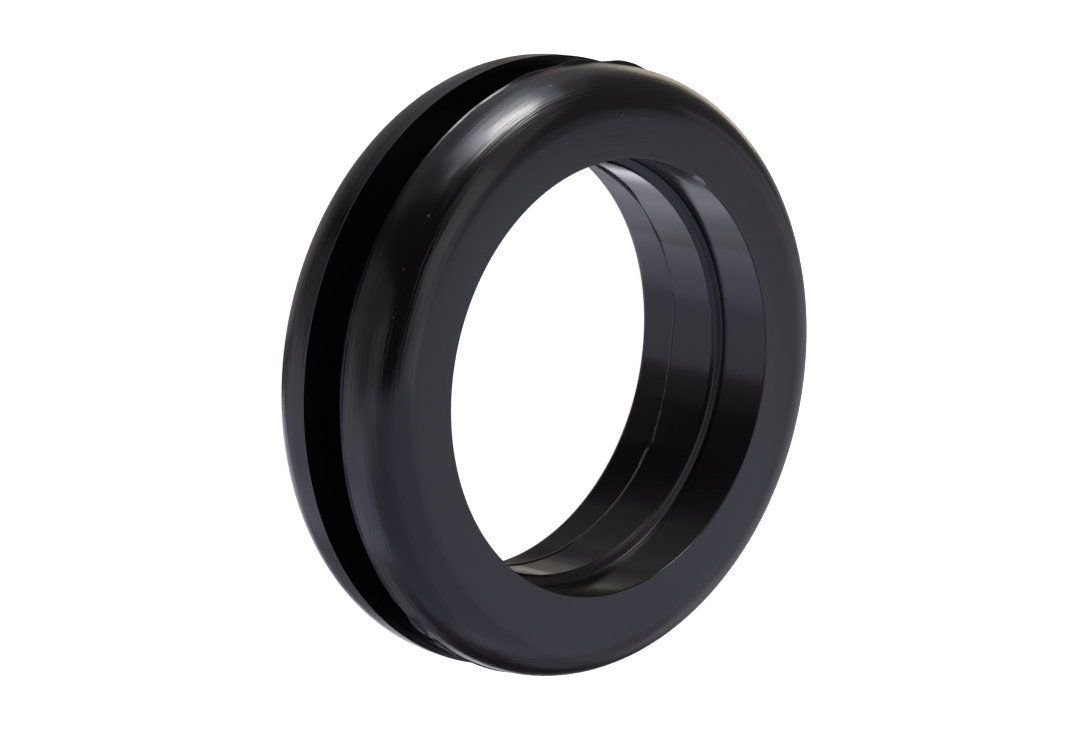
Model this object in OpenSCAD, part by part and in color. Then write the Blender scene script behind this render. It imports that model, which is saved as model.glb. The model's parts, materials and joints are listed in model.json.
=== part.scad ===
// Rubber grommet: one moulded ring with a panel groove round its outside and a stepped bore.
// It lies on its bottom face, with its axis on Z and the origin at the middle of that face.

/* [Flanges] */
// Diameter of both flanges
flange_d = 29.6; // [27:0.1:40]
// Thickness of each flange, from its face to the groove
flange_t = 3; // [2.8:0.1:8]
// Radius that rounds the outer corner of each flange
corner_r = 2.3; // [0.2:0.1:2.4]

/* [Panel groove] */
// Diameter of the groove's floor, which sits in the panel's hole
groove_d = 25; // [22.4:0.1:26.6]
// Width of the groove, which takes the panel's thickness
groove_w = 2.55; // [0.8:0.05:6]
// Radius in the two corners of the groove's floor
groove_fillet_r = 0.3; // [0.05:0.05:0.35]

/* [Bore] */
// Diameter of the land, the narrow part of the bore
bore_d = 20.1; // [12:0.1:20.4]
// Length of the land
land_l = 2.7; // [1:0.1:5]
// How far the land's middle lies below the middle of the groove
land_drop = 0.2; // [-0.8:0.1:0.8]
// Diameter of the recess at each end of the bore
recess_d = 21.1; // [20.8:0.1:22]
// Radius that eases the mouth of each recess
mouth_r = 0.15; // [0.05:0.05:0.4]
// Radius that eases both edges of the land
land_edge_r = 0.1; // [0.05:0.05:0.25]
// Radius of the cove where a recess meets the land's shoulder
cove_r = 0.2; // [0.05:0.05:0.35]

/* [Moulding flash] */
// How far the flash stands out from the top flange
flash_h = 0.2; // [0.05:0.05:0.4]
// Width of the flash along the flange's edge
flash_w = 0.3; // [0.1:0.05:0.35]

/* [Hidden] */
flange_r = flange_d / 2;
groove_r = groove_d / 2;
bore_r = bore_d / 2;
recess_r = recess_d / 2;
height = 2 * flange_t + groove_w;
groove_top = flange_t + groove_w;
land_mid = height / 2 - land_drop;
land_bottom = land_mid - land_l / 2;
land_top = land_mid + land_l / 2;
// Overrun that lets each cut pass clean through a face
cut = 1;
ring_facets = 180;
arc_facets = 64;

// The module outlines below are half sections: X is the radius and Y is the height.

// One flange, standing on its groove side, with its outer corner rounded above
module flange_section() {
    square([flange_r - corner_r, flange_t]);
    square([flange_r, flange_t - corner_r]);
    translate([flange_r - corner_r, flange_t - corner_r])
        intersection() {
            circle(corner_r, $fn = arc_facets);
            square(corner_r + cut);
        }
}

// What fills an inside corner at the origin up to an arc of radius r
module fillet_section(r) {
    difference() {
        square(r);
        translate([r, r]) circle(r, $fn = arc_facets);
    }
}

// What an arc of radius r takes off an outside corner at the origin
module easing_section(r) {
    difference() {
        translate([-cut, -cut]) square(r + cut);
        translate([r, r]) circle(r, $fn = arc_facets);
        translate([r, -cut]) square([r, cut + r]);
        translate([-cut, r]) square([cut + r, r]);
    }
}

// The wall between the flanges, with its filleted corners
module web_section() {
    translate([0, flange_t]) square([groove_r, groove_w]);
    translate([groove_r, flange_t]) fillet_section(groove_fillet_r);
    translate([groove_r, groove_top]) mirror([0, 1]) fillet_section(groove_fillet_r);
}

// Thin lip of flash at the top flange's groove side
module flash_section() {
    translate([flange_r, groove_top])
        polygon([[-flash_w, 0], [flash_h, 0], [0, flash_w], [-flash_w, flash_w]]);
}

// Upper half of the bore's cut, for a shoulder h above the base line and a face face_h above it
module recess_section(h, face_h) {
    difference() {
        translate([0, h]) square([recess_r, face_h - h + cut]);
        translate([recess_r, h]) mirror([1, 0]) fillet_section(cove_r);
    }
    translate([recess_r, face_h]) mirror([0, 1]) easing_section(mouth_r);
    translate([bore_r, h]) mirror([0, 1]) easing_section(land_edge_r);
}

// Everything that the stepped bore takes away
module bore_section() {
    translate([0, -cut]) square([bore_r, height + 2 * cut]);
    recess_section(land_top, height);
    translate([0, height]) mirror([0, 1]) recess_section(height - land_bottom, height);
}

// The whole half section
module grommet_section() {
    difference() {
        union() {
            translate([0, flange_t]) mirror([0, 1]) flange_section();
            translate([0, groove_top]) flange_section();
            web_section();
            flash_section();
        }
        bore_section();
    }
}

module grommet() {
    color([0.15, 0.145, 0.16]) rotate_extrude($fn = ring_facets) grommet_section();
}

grommet();
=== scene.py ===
"""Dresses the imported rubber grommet: the moulded ring with its trimmed flash, its rubber, and the stage."""

import json
import math

import bmesh
import bpy
from bpy.props import FloatProperty, FloatVectorProperty, IntProperty, PointerProperty
from mathutils import Matrix, Vector, noise

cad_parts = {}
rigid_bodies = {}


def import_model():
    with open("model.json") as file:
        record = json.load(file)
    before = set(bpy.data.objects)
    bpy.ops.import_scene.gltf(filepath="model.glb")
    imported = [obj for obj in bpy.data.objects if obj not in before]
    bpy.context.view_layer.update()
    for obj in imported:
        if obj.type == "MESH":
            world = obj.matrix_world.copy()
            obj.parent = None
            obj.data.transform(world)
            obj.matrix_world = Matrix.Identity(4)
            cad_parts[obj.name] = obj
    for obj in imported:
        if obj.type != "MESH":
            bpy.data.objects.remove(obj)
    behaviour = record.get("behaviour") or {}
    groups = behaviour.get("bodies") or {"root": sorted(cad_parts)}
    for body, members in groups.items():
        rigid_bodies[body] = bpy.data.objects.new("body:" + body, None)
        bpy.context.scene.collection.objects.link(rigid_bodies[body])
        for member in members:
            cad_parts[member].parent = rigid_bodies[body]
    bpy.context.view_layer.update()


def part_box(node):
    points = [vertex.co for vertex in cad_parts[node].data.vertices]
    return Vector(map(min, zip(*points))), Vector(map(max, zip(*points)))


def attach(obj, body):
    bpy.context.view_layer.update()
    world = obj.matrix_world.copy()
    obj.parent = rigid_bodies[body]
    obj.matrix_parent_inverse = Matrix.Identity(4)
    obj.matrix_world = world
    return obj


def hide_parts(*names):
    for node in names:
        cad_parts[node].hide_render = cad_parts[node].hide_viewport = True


bl_info = {
    "name": "Rubber Grommet",
    "version": (1, 0, 0),
    "blender": (4, 5, 0),
    "location": "View3D > Sidebar > Grommet",
    "description": "Models a moulded rubber grommet, its finish and a plain stage",
    "category": "Add Mesh",
}

MM = 0.001
UP = Vector((0, 0, 1))
RIGHT = Vector((1, 0, 0))
TOUCH = 0.001 * MM

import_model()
CAD_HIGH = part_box("grommet")[1]
HEIGHT = CAD_HIGH.z


# ---------------------------------------------------------------- sizes


class GrommetSizes(bpy.types.PropertyGroup):
    """Sizes of the moulded ring's section."""

    flash_h: FloatProperty(
        name="Flash height", description="How far the longest flash stands out from the flanges",
        default=0.2 * MM, unit="LENGTH")
    flash_w: FloatProperty(
        name="Flash width", description="Width of the flash's root along the flange's side",
        default=0.1 * MM, unit="LENGTH")
    flash_t: FloatProperty(
        name="Flash thickness", description="Thickness of the flash and of the fin at their tips",
        default=0.03 * MM, unit="LENGTH")
    fin_h: FloatProperty(
        name="Fin height", description="How far the longest fin stands out of the land's lower edge",
        default=0.12 * MM, unit="LENGTH")
    fin_w: FloatProperty(
        name="Fin width", description="Width of the fin's root along the land",
        default=0.07 * MM, unit="LENGTH")
    flange_t: FloatProperty(
        name="Flange thickness", description="From each face to the groove",
        default=3 * MM, unit="LENGTH")
    corner_r: FloatProperty(
        name="Corner radius", description="Radius that rounds each flange's outer corner",
        default=2.3 * MM, unit="LENGTH")
    groove_d: FloatProperty(
        name="Groove diameter", description="Diameter of the groove's floor",
        default=25 * MM, unit="LENGTH")
    groove_fillet_r: FloatProperty(
        name="Groove fillet", description="Radius in the corners of the groove's floor",
        default=0.3 * MM, unit="LENGTH")
    bore_d: FloatProperty(
        name="Bore diameter", description="Diameter of the land",
        default=20.1 * MM, unit="LENGTH")
    land_l: FloatProperty(
        name="Land length", description="Length of the narrow part of the bore",
        default=2.7 * MM, unit="LENGTH")
    land_drop: FloatProperty(
        name="Land drop", description="How far the land's middle lies below the groove's middle",
        default=0.2 * MM, unit="LENGTH")
    recess_d: FloatProperty(
        name="Recess diameter", description="Diameter of the recess at each end of the bore",
        default=21.1 * MM, unit="LENGTH")
    mouth_r: FloatProperty(
        name="Mouth radius", description="Radius that eases the mouth at the ring's top",
        default=0.05 * MM, unit="LENGTH")
    far_mouth_r: FloatProperty(
        name="Far mouth radius", description="Radius that eases the mouth at the ring's foot",
        default=0.3 * MM, unit="LENGTH")
    cove_r: FloatProperty(
        name="Cove radius", description="Radius where the lower recess meets the land's shoulder",
        default=0.2 * MM, unit="LENGTH")
    edge_drop: FloatProperty(
        name="Edge drop", description="How far the land's upper edge has worn down",
        default=0.1 * MM, unit="LENGTH")
    edge_chamfer: FloatProperty(
        name="Edge chamfer", description="Size of the worn chamfer on the land's upper edge",
        default=0.156 * MM, unit="LENGTH")
    slope_rise: FloatProperty(
        name="Slope rise", description="How far the land's upper shoulder climbs to the recess",
        default=0.148 * MM, unit="LENGTH")
    slope_ease: FloatProperty(
        name="Slope easing", description="Radius that eases the shoulder's slope at both ends",
        default=0.07 * MM, unit="LENGTH")
    steps: IntProperty(
        name="Steps", description="Faces round the ring", default=900, min=64, max=1440)


class RubberFinish(bpy.types.PropertyGroup):
    """Colours, polish and relief of the rubber."""

    dark: FloatVectorProperty(
        name="Dark black", description="Darker of the two blacks that the rubber is clouded with",
        default=(0.0016, 0.0015, 0.0018, 1), size=4, subtype="COLOR")
    light: FloatVectorProperty(
        name="Light black", description="Lighter of the two blacks that the rubber is clouded with",
        default=(0.0024, 0.0022, 0.0028, 1), size=4, subtype="COLOR")
    # Painted highlight: a light colour put on the fin on one side of the ring, where it catches the light.
    fin_painted_highlight: FloatVectorProperty(
        name="Pale fin", description="Colour of the fin where it is pale",
        default=(0.10, 0.09, 0.08, 1), size=4, subtype="COLOR")
    dust: FloatVectorProperty(
        name="Dust", description="Colour of the specks of dust",
        default=(0.10, 0.10, 0.10, 1), size=4, subtype="COLOR")
    # Painted highlight: the crumbs' light grey stands for light caught by the torn mouth edge, while the
    # crumbs themselves are real.
    torn_and_painted_glint: FloatVectorProperty(
        name="Torn", description="Colour of the torn crumbs",
        default=(0.16, 0.16, 0.17, 1), size=4, subtype="COLOR")
    roughness: FloatProperty(
        name="Roughness", description="Roughness of the glossiest rubber",
        default=0.105, min=0, max=1, subtype="FACTOR")
    moulded_h: FloatProperty(
        name="Moulded streaks", description="Height of the moulded streaks on the flanges, in millimetres",
        default=0.018)
    brushed_h: FloatProperty(
        name="Brushed streaks", description="Height of the brushed streaks on the flanges, in millimetres",
        default=0.014)
    faint_h: FloatProperty(
        name="Faint streaks", description="Height of both streaks on the rest of the ring, in millimetres",
        default=0.0016)
    grain_h: FloatProperty(
        name="Grain", description="Height of the fine grain, in millimetres", default=0.0007)


# ---------------------------------------------------------------- modelling helpers


def deselect_everything():
    """Leaves nothing selected, because the loaded nodes start selected."""
    for thing in bpy.context.view_layer.objects:
        thing.select_set(False)


def place_of(item):
    """Middle of a vertex, an edge or a face."""
    if isinstance(item, bmesh.types.BMVert):
        return item.co
    if isinstance(item, bmesh.types.BMEdge):
        return (item.verts[0].co + item.verts[1].co) / 2
    return item.calc_center_median()


def pick(piece, kind, test):
    """Selects the piece's vertices, edges or faces whose place passes the test."""
    bpy.ops.mesh.select_mode(type=kind)
    bpy.ops.mesh.select_all(action="DESELECT")
    mesh = bmesh.from_edit_mesh(piece.data)
    items = {"VERT": mesh.verts, "EDGE": mesh.edges, "FACE": mesh.faces}[kind]
    chosen = [item for item in items if test(place_of(item))]
    for item in chosen:
        item.select_set(True)
    mesh.select_flush_mode()
    bmesh.update_edit_mesh(piece.data)
    if not chosen:
        raise RuntimeError(f"nothing to select in {piece.name}")


def cut_all(point, normal):
    """Cuts every face by a plane."""
    bpy.ops.mesh.select_all(action="SELECT")
    bpy.ops.mesh.bisect(plane_co=point, plane_no=normal, threshold=TOUCH)


def pick_corners(piece, *corners):
    """Selects the section's vertices at the given (radius, height) places."""
    places = [Vector((x, 0, z)) for x, z in corners]
    pick(piece, "VERT", lambda co: any((co - place).length < TOUCH for place in places))


def round_corners(piece, corners, radius, segments):
    """Rounds the section's corners at the given (radius, height) places."""
    pick_corners(piece, *corners)
    bpy.ops.mesh.bevel(offset_type="OFFSET", offset=radius, segments=segments, affect="VERTICES")


# ---------------------------------------------------------------- shader helpers


class Wire:
    """An output socket; arithmetic on it adds Math nodes to its tree."""

    def __init__(self, graph, socket):
        self.graph, self.socket = graph, socket

    def __add__(self, other):
        return self.graph.maths("ADD", self, other)

    def __sub__(self, other):
        return self.graph.maths("SUBTRACT", self, other)

    def __rsub__(self, other):
        return self.graph.maths("SUBTRACT", other, self)

    def __mul__(self, other):
        return self.graph.maths("MULTIPLY", self, other)

    def __truediv__(self, other):
        return self.graph.maths("DIVIDE", self, other)

    def __pow__(self, other):
        return self.graph.maths("POWER", self, other)

    __radd__, __rmul__ = __add__, __mul__

    def rise(self, low, high):
        """A smooth step: 0 below low and 1 above high."""
        return self.graph.node(
            "ShaderNodeMapRange", {"interpolation_type": "SMOOTHSTEP"},
            {"Value": self, "From Min": low, "From Max": high})

    def near(self, middle, reach):
        """1 at the middle, falling smoothly to 0 at the reach."""
        return 1 - self.graph.maths("ABSOLUTE", self - middle).rise(0, reach)


# Share of a dot's size that is full.
DOT_CORE = 0.4


class Graph:
    """The node tree of a material or of the world, emptied."""

    def __init__(self, owner):
        owner.use_nodes = True
        self.tree = owner.node_tree
        self.tree.nodes.clear()

    def node(self, kind, settings=None, sockets=None, output=None):
        """Adds one node: its settings first, then its sockets' values or links."""
        node = self.tree.nodes.new(kind)
        for name, value in (settings or {}).items():
            setattr(node, name, value)
        for name, value in (sockets or {}).items():
            socket = node.inputs[name] if isinstance(name, int) else next(
                one for one in node.inputs if one.name == name and one.enabled)
            if isinstance(value, Wire):
                self.tree.links.new(value.socket, socket)
            else:
                socket.default_value = value
        found = [one for one in node.outputs if one.enabled and output in (None, one.name)]
        return Wire(self, found[0]) if found else node

    def maths(self, operation, *values):
        """One Math node."""
        return self.node("ShaderNodeMath", {"operation": operation}, dict(enumerate(values)))

    def noise(self, vector, scale=1.0, detail=2.0, roughness=0.5, w=None):
        """Noise about 0.5; w makes it four-dimensional."""
        sockets = {"Vector": vector, "Scale": scale, "Detail": detail, "Roughness": roughness}
        if w is None:
            return self.node("ShaderNodeTexNoise", None, sockets)
        return self.node("ShaderNodeTexNoise", {"noise_dimensions": "4D"}, sockets | {"W": w})

    def vector(self, x, y, z):
        """A vector from three values."""
        return self.node("ShaderNodeCombineXYZ", None, {"X": x, "Y": y, "Z": z})

    def dot(self, vector, angle, reach, level, size):
        """1 at a place on the ring, given in degrees and millimetres, falling to 0 at the size."""
        turn = math.radians(angle)
        place = (reach * MM * math.cos(turn), reach * MM * math.sin(turn), level * MM)
        far = self.node(
            "ShaderNodeVectorMath", {"operation": "DISTANCE"}, {0: vector, 1: place}, output="Value")
        return 1 - (far / MM).rise(size * DOT_CORE, size)

    def dots(self, vector, rows):
        """The sum of the dots in a table."""
        first, *others = rows
        return sum((self.dot(vector, *row) for row in others), self.dot(vector, *first))

    def mix(self, factor, first, second):
        """A colour between two colours."""
        return self.node(
            "ShaderNodeMix", {"data_type": "RGBA"}, {"Factor": factor, "A": first, "B": second})


# ---------------------------------------------------------------- the rubber

# Specks of dust: degrees round the ring, distance from the axis, height, size in millimetres.
DUST = (
    (-112.8, 14.41, 7.53, 0.10), (-92.5, 14.28, 7.70, 0.07), (-101.7, 14.42, 7.51, 0.06),
    (-151.9, 14.60, 7.19, 0.08), (-165.8, 12.66, 8.54, 0.07),
)

# Torn crumbs on the top mouth's edge, in the same terms; their bump and roughness are real, and their light
# colour is a painted highlight on the ragged edge.
TORN_CRUMBS_AND_GLINT = (
    (165.6, 10.60, 8.54, 0.13), (164.6, 10.62, 8.55, 0.17), (163.6, 10.61, 8.54, 0.18),
    (162.6, 10.63, 8.55, 0.16), (161.4, 10.60, 8.54, 0.13),
)

# Where the finish changes, in millimetres: distances from the axis, or a height and its reach up and down.
FLANGE_SIDE = (14.35, 14.75)
FLANGE_ROUND = (12.9, 14.1)
GROOVE_LEVEL, GROOVE_IN, GROOVE_OUT = (4.3, 2.6), (12.4, 12.5), (14.6, 14.75)
SHOULDER_LEVEL, SHOULDER_OUT = (5.65, 0.5), (10.6, 10.8)
FIN_OUT = (9.98, 10.03)
# The fin gets a painted highlight, a lighter colour, where X as a share of the radius is above these: the
# side of the ring where it catches the light.
FIN_HIGHLIGHT_SIDE = (-0.6, -0.5)

# Lumps per metre of the clouds and of the grain.
CLOUDS, GRAIN = 160.0, 5000.0

# How much roughness each adds where it is full.
ROUGH_BROAD, ROUGH_CLOUDS, ROUGH_SIDE, ROUGH_SHOULDER, ROUGH_GROOVE = 0.06, 0.02, 0.07, 0.14, 0.12
ROUGH_DUST, ROUGH_TORN = 0.4, 0.4

# How far dust and crumbs stand up in millimetres, and how much of the dust shows.
DUST_H, TORN_H = 0.012, 0.02
DUST_COVER = 0.35


def rubber(finish):
    """Black moulded rubber: glossy, with fine streaks round the ring, a faint grain, some dust, and painted
    highlights on one side of the fin and on the torn crumbs.
    """
    material = bpy.data.materials.new("black_rubber")
    g = Graph(material)
    spot = g.node("ShaderNodeTexCoord", output="Object")
    x, y, z = (g.node("ShaderNodeSeparateXYZ", None, {"Vector": spot}, output=axis) / MM for axis in "XYZ")
    r = (x * x + y * y) ** 0.5
    round_x, round_y = x / r, y / r

    def streaks(around, across, detail=2.0):
        """Noise drawn out round the ring: lumps round it, and lumps per millimetre across."""
        return g.noise(
            g.vector(round_x * around, round_y * around, r * across),
            detail=detail, w=z * across)

    side = r.rise(*FLANGE_SIDE)
    flange = r.rise(*FLANGE_ROUND)
    groove = z.near(*GROOVE_LEVEL) * r.rise(*GROOVE_IN) * (1 - r.rise(*GROOVE_OUT))
    shoulder = z.near(*SHOULDER_LEVEL) * (1 - r.rise(*SHOULDER_OUT))
    # Painted highlight: the fin's colour is lightened on one side of the ring only, where it catches the
    # light.
    fin_painted_highlight = (1 - r.rise(*FIN_OUT)) * round_x.rise(*FIN_HIGHLIGHT_SIDE)
    moulded = streaks(2.5, 5.0)
    brushed = streaks(5.0, 11.0, 3.0)
    broad = streaks(1.6, 1.2)
    clouds = g.noise(spot, CLOUDS, 2.0)
    grain = g.noise(spot, GRAIN, 3.0)
    dust = g.dots(spot, DUST) * DUST_COVER
    # Torn crumbs on the mouth's edge: real bump and roughness, with a painted highlight in their light
    # colour.
    torn_and_painted_glint = g.dots(spot, TORN_CRUMBS_AND_GLINT)
    height = moulded * (flange * finish.moulded_h + finish.faint_h)
    height = height + brushed * (flange * finish.brushed_h + finish.faint_h)
    height = height + grain * finish.grain_h + dust * DUST_H + torn_and_painted_glint * TORN_H
    bump = g.node("ShaderNodeBump", None, {"Strength": 1.0, "Distance": MM, "Height": height})
    colour = g.mix(clouds, finish.dark, finish.light)
    # Painted highlight on one side of the fin.
    colour = g.mix(fin_painted_highlight, colour, finish.fin_painted_highlight)
    colour = g.mix(dust, colour, finish.dust)
    # Painted highlight on the torn crumbs.
    colour = g.mix(torn_and_painted_glint, colour, finish.torn_and_painted_glint)
    roughness = broad * ROUGH_BROAD + clouds * ROUGH_CLOUDS + side * ROUGH_SIDE
    roughness = roughness + shoulder * ROUGH_SHOULDER + groove * ROUGH_GROOVE
    roughness = roughness + dust * ROUGH_DUST + torn_and_painted_glint * ROUGH_TORN + finish.roughness
    shader = g.node("ShaderNodeBsdfPrincipled", None, {
        "Base Color": colour, "Roughness": roughness, "IOR": 1.5, "Normal": bump})
    g.node("ShaderNodeOutputMaterial", None, {"Surface": shader})
    return material


# ---------------------------------------------------------------- the ring

# Where the top flange's flash stands out further or is torn away: degrees round the ring, reach in degrees,
# share of its height.
FLASH_BUMPS = (
    (-178, 7, 0.7), (-165, 6, 0.5), (-152, 6, 0.35), (-30, 3, -0.4), (-26, 3, 0.4), (-21, 2, -0.4),
)
# Shares of its full height that the flash usually has, on the top flange and on the bottom one.
TOP_FLASH, FOOT_FLASH = 0.3, 0.2
SHORTEST_LIP = 0.05

# The fin on the land's lower edge: degrees round the ring, share of its height, how far it wanders in
# millimetres.
FIN = (
    (-180, 0.3, 0.0), (0, 0.3, 0.0), (14, 0.5, -0.05), (30, 0.6, 0.0), (39, 0.4, -0.07), (47, 0.6, 0.0),
    (61, 0.5, 0.0), (66, 0.6, 0.0), (69, 0.9, -0.02), (72, 0.8, -0.04), (73.5, 0.3, 0.05), (75, 0.5, 0.1),
    (79, 0.5, -0.03), (87, 0.5, -0.1), (95, 0.55, -0.17), (104, 0.55, -0.16), (109, 0.5, -0.04),
    (113, 0.5, 0.03), (117, 0.4, 0.08), (119, 0.1, 0.08), (128, 0.1, 0.08), (132, 0.4, 0.1), (135, 0.6, 0.1),
    (139, 0.5, 0.06), (142, 0.15, 0.09), (148, 0.15, 0.12), (151, 0.6, 0.15), (156, 0.9, 0.18),
    (165, 0.9, 0.12), (171, 0.7, 0.2), (176, 0.3, 0.0), (180, 0.3, 0.0),
)


def ragged(angle, pace, seed, depth):
    """A smooth random share about 0 at an angle, with so many lumps per degree."""
    return noise.noise(Vector((angle * pace, *seed))) * depth


def fin_shape(angle):
    """The fin's share of its height, and its wander, at an angle."""
    after = next(number for number, row in enumerate(FIN) if row[0] >= angle and number)
    (start, *low), (end, *high) = FIN[after - 1:after + 1]
    part = (angle - start) / (end - start)
    share, wander = (a + (b - a) * part for a, b in zip(low, high))
    share *= 1 + ragged(angle, 1.3, (2.5, 4.5), 0.15)
    return min(max(share, SHORTEST_LIP), 1.0), wander * MM


def flash_shape(angle):
    """The share of its height that the top flange's flash has at an angle."""
    share = TOP_FLASH * (1 + ragged(angle, 0.9, (0.5, 7.5), 0.12) + ragged(angle, 0.17, (3.5, 1.5), 0.5))
    for middle, reach, bump in FLASH_BUMPS:
        away = abs((angle - middle + 180) % 360 - 180) / reach
        if away < 1:
            share += bump * (1 - away * away) ** 2
    return min(max(share, SHORTEST_LIP), 1.0)


# Where the section gets one more vertex, in millimetres, so that a rounding's shading stays off the flat
# beside it: each cuts a flat near its end, and crosses the far side's rounding in the middle of a facet.
HOLD_LEVELS = (0.362, 2.45, 8.4415)
HOLD_REACH = 10.669

# Corners flatter than this leave the section, and edges sharper than that stay sharp.
STRAIGHT, SHARP = math.radians(0.5), math.radians(35)
# Where the flat beside a lip is held, and where the lip's root ends, in root widths from the corner.
LIP_CUTS = (1.3, 1)
# How far up the land the section wanders with the fin, in root widths.
FIN_REACH = 1.5


class Section:
    """Radii and levels of the ring's section, worked out from the sizes and the frame."""

    def __init__(self, s):
        self.flange_r = CAD_HIGH.x - s.flash_h
        self.groove_r, self.recess_r, self.bore_r = s.groove_d / 2, s.recess_d / 2, s.bore_d / 2
        self.groove_low, self.groove_high = s.flange_t, HEIGHT - s.flange_t
        land_mid = HEIGHT / 2 - s.land_drop
        self.land_low, self.land_high = land_mid - s.land_l / 2, land_mid + s.land_l / 2
        self.chamfer_r = self.bore_r + s.edge_chamfer
        self.slope = (
            (self.bore_r, -s.edge_drop), (self.chamfer_r, s.edge_chamfer - s.edge_drop),
            (self.recess_r, s.slope_rise))

    def is_waste(self, co):
        """Whether a place lies in the groove or in a recess."""
        in_groove = co.x > self.groove_r and self.groove_low < co.z < self.groove_high
        in_recess = co.x < self.recess_r and not self.land_low < co.z < self.land_high
        return in_groove or in_recess


class GROMMET_OT_ring(bpy.types.Operator):
    """Models the moulded ring from its section and spins it round the axis"""

    bl_idname = "grommet.ring"
    bl_label = "Moulded ring"

    def execute(self, context):
        s = context.scene.grommet_sizes
        section = Section(s)
        deselect_everything()
        middle = ((section.flange_r + section.bore_r) / 2, 0, HEIGHT / 2)
        bpy.ops.mesh.primitive_plane_add(size=1, location=middle, rotation=(math.pi / 2, 0, 0))
        ring = context.object
        ring.name = "moulded_ring"
        ring.scale = (section.flange_r - section.bore_r, HEIGHT, 1)
        bpy.ops.object.transform_apply(location=True, rotation=True, scale=True)
        bpy.ops.object.mode_set(mode="EDIT")
        self.cut_out(ring, section)
        self.wear_land(ring, section)
        self.round_off(ring, section, s)
        self.draw_lip(ring, (section.flange_r, section.groove_high), RIGHT, UP * s.flash_w, s.flash_t)
        self.draw_lip(ring, (section.flange_r, section.groove_low), RIGHT, -UP * s.flash_w, s.flash_t)
        self.draw_lip(ring, (section.bore_r, section.land_low), -RIGHT, UP * s.fin_w, s.flash_t)
        for level in HOLD_LEVELS:
            cut_all((0, 0, level * MM), UP)
        cut_all((HOLD_REACH * MM, 0, 0), RIGHT)
        self.merge_section()
        self.spin_section(s.steps)
        bpy.ops.object.mode_set(mode="OBJECT")
        self.grow_lips(ring, section, s)
        bpy.ops.object.shade_smooth_by_angle(angle=SHARP)
        ring.data.materials.append(rubber(context.scene.grommet_finish))
        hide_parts("grommet")
        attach(ring, "root")
        return {"FINISHED"}

    def merge_section(self):
        """Makes the section's faces one face."""
        bpy.ops.mesh.select_all(action="SELECT")
        bpy.ops.mesh.dissolve_faces()

    def cut_out(self, ring, section):
        """Cuts the groove and the recesses out of the section."""
        for level in (section.land_low, section.groove_low, section.groove_high, section.land_high):
            cut_all((0, 0, level), UP)
        for reach in (section.chamfer_r, section.recess_r, section.groove_r):
            cut_all((reach, 0, 0), RIGHT)
        pick(ring, "FACE", section.is_waste)
        bpy.ops.mesh.delete(type="FACE")
        self.merge_section()

    def wear_land(self, ring, section):
        """Wears the land's upper edge down and slopes the shoulder beyond it."""
        pick_corners(ring, (section.recess_r, section.groove_high))
        bpy.ops.mesh.dissolve_verts()
        for reach, lift in section.slope:
            pick_corners(ring, (reach, section.land_high))
            bpy.ops.transform.translate(value=UP * lift)
        bpy.ops.mesh.select_all(action="SELECT")
        bpy.ops.mesh.dissolve_limited(angle_limit=STRAIGHT)

    def round_off(self, ring, section, s):
        """Rounds the section's corners."""
        flange_corners = [(section.flange_r, 0), (section.flange_r, HEIGHT)]
        slope_ends = [(reach, section.land_high + lift) for reach, lift in section.slope[1:]]
        groove_floor = [(section.groove_r, section.groove_low), (section.groove_r, section.groove_high)]
        round_corners(ring, flange_corners, s.corner_r, segments=18)
        round_corners(ring, [(section.recess_r, HEIGHT)], s.mouth_r, segments=4)
        round_corners(ring, [(section.recess_r, 0)], s.far_mouth_r, segments=6)
        round_corners(ring, [(section.recess_r, section.land_low)], s.cove_r, segments=4)
        round_corners(ring, slope_ends, s.slope_ease, segments=4)
        round_corners(ring, groove_floor, s.groove_fillet_r, segments=5)

    def draw_lip(self, ring, corner, outward, along, thickness):
        """Pulls a corner of the section out into a thin lip, rooted along the wall beside it."""
        corner = Vector((corner[0], 0, corner[1]))
        tip = corner + along.normalized() * thickness
        for place in [corner + along * widths for widths in LIP_CUTS] + [tip]:
            cut_all(place, UP)
        for place in (corner, tip):
            pick_corners(ring, (place.x, place.z))
            bpy.ops.transform.translate(value=outward * thickness)

    def spin_section(self, steps):
        """Spins the section's outline round the axis into a closed skin that faces outwards."""
        bpy.ops.mesh.select_mode(type="FACE")
        bpy.ops.mesh.select_all(action="SELECT")
        bpy.ops.mesh.delete(type="ONLY_FACE")
        bpy.ops.mesh.select_mode(type="VERT")
        bpy.ops.mesh.select_all(action="SELECT")
        bpy.ops.mesh.spin(steps=steps, angle=math.tau, center=(0, 0, 0), axis=UP)
        bpy.ops.mesh.select_all(action="SELECT")
        bpy.ops.mesh.remove_doubles(threshold=TOUCH)
        bpy.ops.mesh.select_all(action="SELECT")
        bpy.ops.mesh.normals_make_consistent(inside=False)

    def grow_lips(self, ring, section, s):
        """Draws the flash and the fin out all round, each as far as it stands there."""
        for vertex in ring.data.vertices:
            co = vertex.co
            reach = math.hypot(co.x, co.y)
            angle = math.degrees(math.atan2(co.y, co.x))
            if reach > section.flange_r + TOUCH and co.z > section.groove_high - TOUCH:
                grown = section.flange_r + flash_shape(angle) * s.flash_h
            elif reach > section.flange_r + TOUCH:
                grown = section.flange_r + FOOT_FLASH * s.flash_h
            elif reach < section.bore_r + TOUCH and co.z < section.land_low + FIN_REACH * s.fin_w:
                share, wander = fin_shape(angle)
                co.z += wander
                if reach > section.bore_r - TOUCH:
                    continue
                grown = section.bore_r - share * s.fin_h
            else:
                continue
            co.x *= grown / reach
            co.y *= grown / reach


# ---------------------------------------------------------------- the stage

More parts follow.
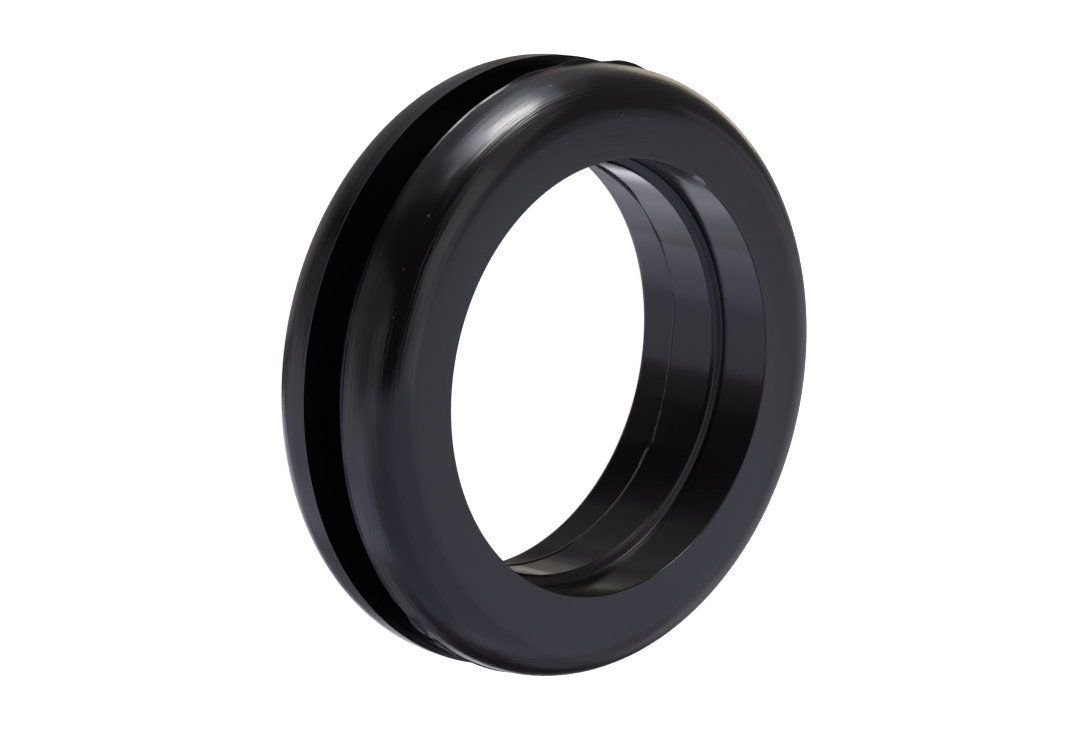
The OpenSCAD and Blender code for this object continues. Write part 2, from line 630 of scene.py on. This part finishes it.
# Each soft light: where it stands, seen from the ring with the camera straight ahead and its picture upright
# (degrees right of the camera, degrees up, metres away), its width, height and turn in degrees, and its
# brightness. Most of these numbers were worked out by a fitting script, not set by hand.
LIGHTS = {
    "wall_left": ((-58, -1, 0.03), (59, 54, -17), (0.236, 0.228, 0.236)),
    "front_table": ((14, -58, 0.1), (150, 85, 17), (0.116, 0.11, 0.129)),
    "far_left_high": ((-143, 24, 0.6), (52, 39, 6), (0.221, 0.223, 0.231)),
    "low_right": ((77, -35, 0.56), (116, 86, -10), (0.125, 0.138, 0.166)),
    "front_table_cool": ((15, -59, 0.1), (150, 86, 5), (0.229, 0.246, 0.363)),
    "right_back": ((120, -8, 0.58), (54, 37, -24), (0.329, 0.312, 0.391)),
    "left_table": ((-98, -24, 0.36), (62, 51, -40), (0.47, 0.469, 0.632)),
    "window_back_low": ((-161, -28, 0.03), (30, 36, 2), (0.4, 0.4, 0.47)),
    "window_back_low_edge": ((-161, -28, 0.03), (40, 40, 2), (0.17, 0.17, 0.2)),
    "window_back_low_rim": ((-159, -28, 0.03), (54, 44, 2), (0.11, 0.11, 0.13)),
    "window": ((51, 17, 0.47), (36, 66, -5), (0.424, 0.398, 0.428)),
    "far_left_low": ((-117, -3, 0.11), (60, 65, 16), (0.132, 0.108, 0.113)),
    "low_right_dim": ((79, -34, 0.54), (117, 77, -9), (0.0633, 0.0544, 0.0668)),
    "warm_lamp": ((164, 39, 0.56), (32, 150, -11), (0.193, 0.189, 0.171)),
    "wall_right": ((110, 17, 0.3), (118, 115, -32), (0.131, 0.12, 0.119)),
    "under": ((21, -67, 0.59), (137, 106, 14), (0.12, 0.104, 0.139)),
    "back_far": ((44, 11, 0.3), (28, 27, -45), (0.415, 0.362, 0.297)),
    "window_back_wide": ((-160, -17, 0.04), (76, 28, 0), (0.358, 0.352, 0.413)),
    "back_far_warm": ((160, 28, 0.11), (16, 26, -12), (1.14, 0.95, 0.631)),
    "bore_low": ((-168, -11, 0.12), (68, 14, 1), (0.543, 0.578, 0.624)),
    "table_back": ((-120, -40, 0.5), (60, 30, 0), (0.266, 0.264, 0.327)),
    "back_high": ((-146, 50, 0.5), (27, 17, 0), (0.0918, 0.0903, 0.0945)),
    "back_high_edge": ((-146, 50, 0.5), (44, 27, 0), (0.0328, 0.0289, 0.0309)),
    "wall_left_dim": ((-75, -5, 0.5), (40, 40, 0), (0.0563, 0.0514, 0.0574)),
    "overhead": ((-39, 76, 0.03), (70, 59, -3), (0.156, 0.151, 0.173)),
    "overhead_left": ((-90, 76, 0.57), (100, 31, 13), (0.0391, 0.0427, 0.0361)),
    "overhead_left_edge": ((-90, 72, 0.57), (104, 46, 13), (0.0158, 0.0152, 0.0152)),
    "under_spot": ((135, -76, 0.5), (22, 14, 0), (0.185, 0.17, 0.162)),
    "front_left": ((-33, -6, 0.5), (26, 30, 0), (0.326, 0.315, 0.344)),
    "warm_patch": ((180, 14.5, 0.5), (16, 8, 0), (0.481, 0.447, 0.356)),
    "window_back": ((-16, 74, 0.03), (33, 35, -23), (0.652, 0.836, 1.08)),
    "softbox_tail": ((25, 68, 0.1), (45, 29, -18), (1.57, 1.54, 1.73)),
    "softbox": ((41, 74, 0.6), (27, 36, 4), (3.92, 3.86, 3.81)),
    "softbox_core": ((46, 70, 0.23), (18, 19, -8), (10.6, 10.3, 9.8)),
    "window_back_top": ((-143, 80, 0.6), (22, 14, 18), (1.81, 1.72, 1.63)),
    "warm_back": ((180, 27, 0.5), (22, 12, 0), (0.233, 0.214, 0.168)),
    "land_top": ((-172, -19, 0.5), (12, 10, 0), (0.76, 0.76, 0.8)),
}
# Power per square metre of a light whose brightness is 1.
WATTS_PER_AREA = math.pi
# Width of the camera's sensor in millimetres.
SENSOR_WIDTH = 36
WHITE = (1, 1, 1, 1)


class StageSettings(bpy.types.PropertyGroup):
    """The camera, the floor and the room."""

    lens: FloatProperty(name="Lens", description="Focal length in millimetres", default=250)
    distance: FloatProperty(
        name="Distance", description="From the aim to the camera", default=359.9 * MM, unit="LENGTH")
    elevation: FloatProperty(
        name="Elevation", description="Camera's height above the horizon",
        default=math.radians(44.41), subtype="ANGLE")
    roll: FloatProperty(
        name="Roll", description="Turn of the camera about its line of sight",
        default=math.radians(102.22), subtype="ANGLE")
    aim: FloatVectorProperty(
        name="Aim", description="Point at the middle of the picture",
        default=(0.08 * MM, -0.63 * MM, 4.275 * MM), subtype="TRANSLATION")
    clip: FloatProperty(
        name="Clip", description="Nearest distance that the camera sees", default=10 * MM, unit="LENGTH")
    floor_size: FloatProperty(
        name="Floor", description="Side of the square sheet of paper", default=8, unit="LENGTH")
    paper: FloatVectorProperty(
        name="Paper", description="Colour of the paper",
        default=(0.9, 0.9, 0.9, 1), size=4, subtype="COLOR")
    glow: FloatProperty(
        name="Glow", description="How brightly the paper glows by itself", default=0.93, min=0)
    room: FloatVectorProperty(
        name="Room", description="Dim light that comes from all sides",
        default=(0.0504, 0.0449, 0.0549, 1), size=4, subtype="COLOR")


class GROMMET_OT_stage(bpy.types.Operator):
    """Sets up the floor, the lights and the camera"""

    bl_idname = "grommet.stage"
    bl_label = "Stage"

    def execute(self, context):
        t = context.scene.grommet_stage
        deselect_everything()
        bpy.ops.mesh.primitive_plane_add(size=t.floor_size)
        floor = context.object
        floor.name = "floor"
        floor.visible_glossy = floor.visible_diffuse = floor.visible_shadow = False
        floor.data.materials.append(self.paper(t))
        deselect_everything()
        bpy.ops.object.camera_add()
        camera = context.object
        back = Vector((0, -math.cos(t.elevation), math.sin(t.elevation)))
        turn = back.to_track_quat("Z", "Y").to_matrix() @ Matrix.Rotation(t.roll, 3, "Z")
        camera.matrix_world = Matrix.Translation(Vector(t.aim) + back * t.distance) @ turn.to_4x4()
        camera.data.lens = t.lens
        camera.data.sensor_width = SENSOR_WIDTH
        camera.data.clip_start = t.clip
        context.scene.camera = camera
        for name, row in LIGHTS.items():
            self.light(name, turn, *row)
        self.room(context.scene, t)
        context.scene.view_settings.view_transform = "Standard"
        return {"FINISHED"}

    def light(self, name, turn, place, shape, colour):
        """Stands one soft light round the ring, facing it."""
        aside, up = (math.radians(angle) for angle in place[:2])
        distance, tilt = place[2], math.radians(shape[2])
        away = Vector((math.sin(aside) * math.cos(up), math.sin(up), math.cos(aside) * math.cos(up)))
        across = Vector((math.cos(aside), 0, -math.sin(aside)))
        axes = Matrix((across, away.cross(across), away)).transposed()
        axes = turn @ axes @ Matrix.Rotation(tilt, 3, "Z")
        middle = Vector((0, 0, HEIGHT / 2)) + axes.col[2] * distance
        width, height = (2 * distance * math.tan(math.radians(angle) / 2) for angle in shape[:2])
        brightness = max(colour)
        bpy.ops.object.light_add(type="AREA")
        lamp = bpy.context.object
        lamp.name = name
        lamp.matrix_world = Matrix.Translation(middle) @ axes.to_4x4()
        lamp.data.shape = "RECTANGLE"
        lamp.data.size, lamp.data.size_y = width, height
        lamp.data.color = [part / brightness for part in colour]
        lamp.data.energy = brightness * WATTS_PER_AREA * width * height
        lamp.visible_camera = False

    def paper(self, t):
        """White paper that glows, so that it stays white under dim lights."""
        material = bpy.data.materials.new("white_paper")
        g = Graph(material)
        shader = g.node("ShaderNodeBsdfPrincipled", None, {
            "Base Color": t.paper, "Roughness": 0.9,
            "Emission Color": WHITE, "Emission Strength": t.glow})
        g.node("ShaderNodeOutputMaterial", None, {"Surface": shader})
        return material

    def room(self, scene, t):
        """A dim room round the stage, white where the camera looks past the floor."""
        world = bpy.data.worlds.new("studio")
        scene.world = world
        g = Graph(world)
        seen = g.node("ShaderNodeLightPath", output="Is Camera Ray")
        colour = g.mix(seen, t.room, WHITE)
        shader = g.node("ShaderNodeBackground", None, {"Color": colour})
        g.node("ShaderNodeOutputWorld", None, {"Surface": shader})


class GROMMET_PT_panel(bpy.types.Panel):
    """Lists the grommet's pieces and its stage"""

    bl_idname = "GROMMET_PT_panel"
    bl_label = "Grommet"
    bl_space_type = "VIEW_3D"
    bl_region_type = "UI"
    bl_category = "Grommet"

    def draw(self, context):
        for operator in OPERATORS:
            self.layout.operator(operator.bl_idname)


OPERATORS = (GROMMET_OT_ring, GROMMET_OT_stage)
CLASSES = (GrommetSizes, RubberFinish, StageSettings, *OPERATORS, GROMMET_PT_panel)


def register():
    """Registers the classes and hangs their settings on the scene."""
    for cls in CLASSES:
        bpy.utils.register_class(cls)
    bpy.types.Scene.grommet_sizes = PointerProperty(type=GrommetSizes)
    bpy.types.Scene.grommet_finish = PointerProperty(type=RubberFinish)
    bpy.types.Scene.grommet_stage = PointerProperty(type=StageSettings)


def unregister():
    """Takes the settings and the classes away."""
    del bpy.types.Scene.grommet_stage
    del bpy.types.Scene.grommet_finish
    del bpy.types.Scene.grommet_sizes
    for cls in reversed(CLASSES):
        bpy.utils.unregister_class(cls)


def main():
    register()
    bpy.ops.grommet.ring()
    bpy.ops.grommet.stage()


if __name__ == "__main__":
    main()
